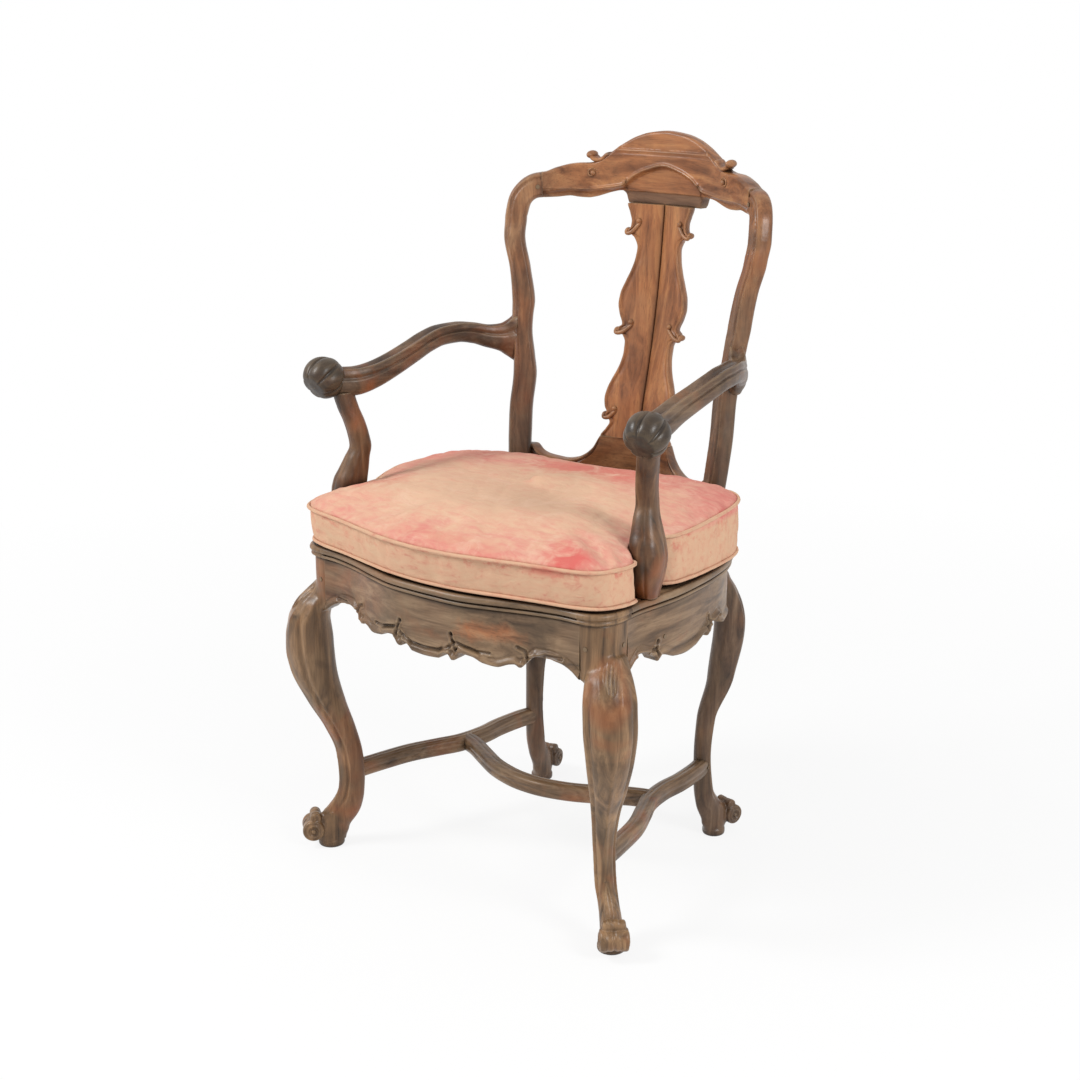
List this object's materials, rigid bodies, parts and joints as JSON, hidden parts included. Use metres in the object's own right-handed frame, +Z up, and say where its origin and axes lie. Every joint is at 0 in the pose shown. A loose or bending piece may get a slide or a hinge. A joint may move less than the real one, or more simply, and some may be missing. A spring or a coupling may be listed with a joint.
{
  "type": "upholstered open armchair",
  "caption": "Carved open armchair with a vase splat, out-turned scrolled arms, scalloped seat rails, cabriole legs, shaped stretchers and a loose box cushion.",
  "frame": {"origin": "On the floor, under the middle of the whole chair's box", "axes": "+Z up, the chair faces -Y, and +X runs across it, to the right in a view from its front"},
  "size_m": [0.638, 0.595, 1.06],
  "materials": {
    "walnut": "waxed, worn and dusty",
    "warm_walnut": "waxed satin, warm brown",
    "peg_wood": "dark end grain",
    "cane": "woven strands, matt",
    "velvet": "worn cotton velvet, matt"
  },
  "bodies": {
    "frame": {"front_leg_right": "walnut", "front_leg_left": "walnut", "rear_post_right": "walnut", "rear_post_left": "walnut", "side_rail_right": "walnut", "side_rail_left": "walnut", "arm_right": "walnut", "arm_left": "walnut", "arm_post_right": "walnut", "arm_post_left": "walnut", "stretcher_right": "walnut", "stretcher_left": "walnut", "peg_front_rail_right": "peg_wood", "peg_front_rail_left": "peg_wood", "peg_side_rail_front_right": "peg_wood", "peg_side_rail_front_left": "peg_wood", "peg_side_rail_middle_right": "peg_wood", "peg_side_rail_middle_left": "peg_wood", "peg_side_rail_rear_right": "peg_wood", "peg_side_rail_rear_left": "peg_wood", "peg_back_rail_right": "peg_wood", "peg_back_rail_left": "peg_wood", "peg_crest_right": "peg_wood", "peg_crest_left": "peg_wood", "peg_stretcher_front_right": "peg_wood", "peg_stretcher_front_left": "peg_wood", "peg_stretcher_rear_right": "peg_wood", "peg_stretcher_rear_left": "peg_wood", "front_rail": "walnut", "back_rail": "walnut", "crest_rail": "warm_walnut", "splat": "warm_walnut", "low_back_rail": "warm_walnut", "cross_stretcher": "walnut", "cane_seat": "cane"},
    "cushion": {"cushion": "velvet"}
  },
  "joints": [
    {"name": "cushion_lift", "type": "slide", "parent": "frame", "child": "cushion", "axis": [0, 0, 1], "range_m": [0, 0.1]}
  ]
}
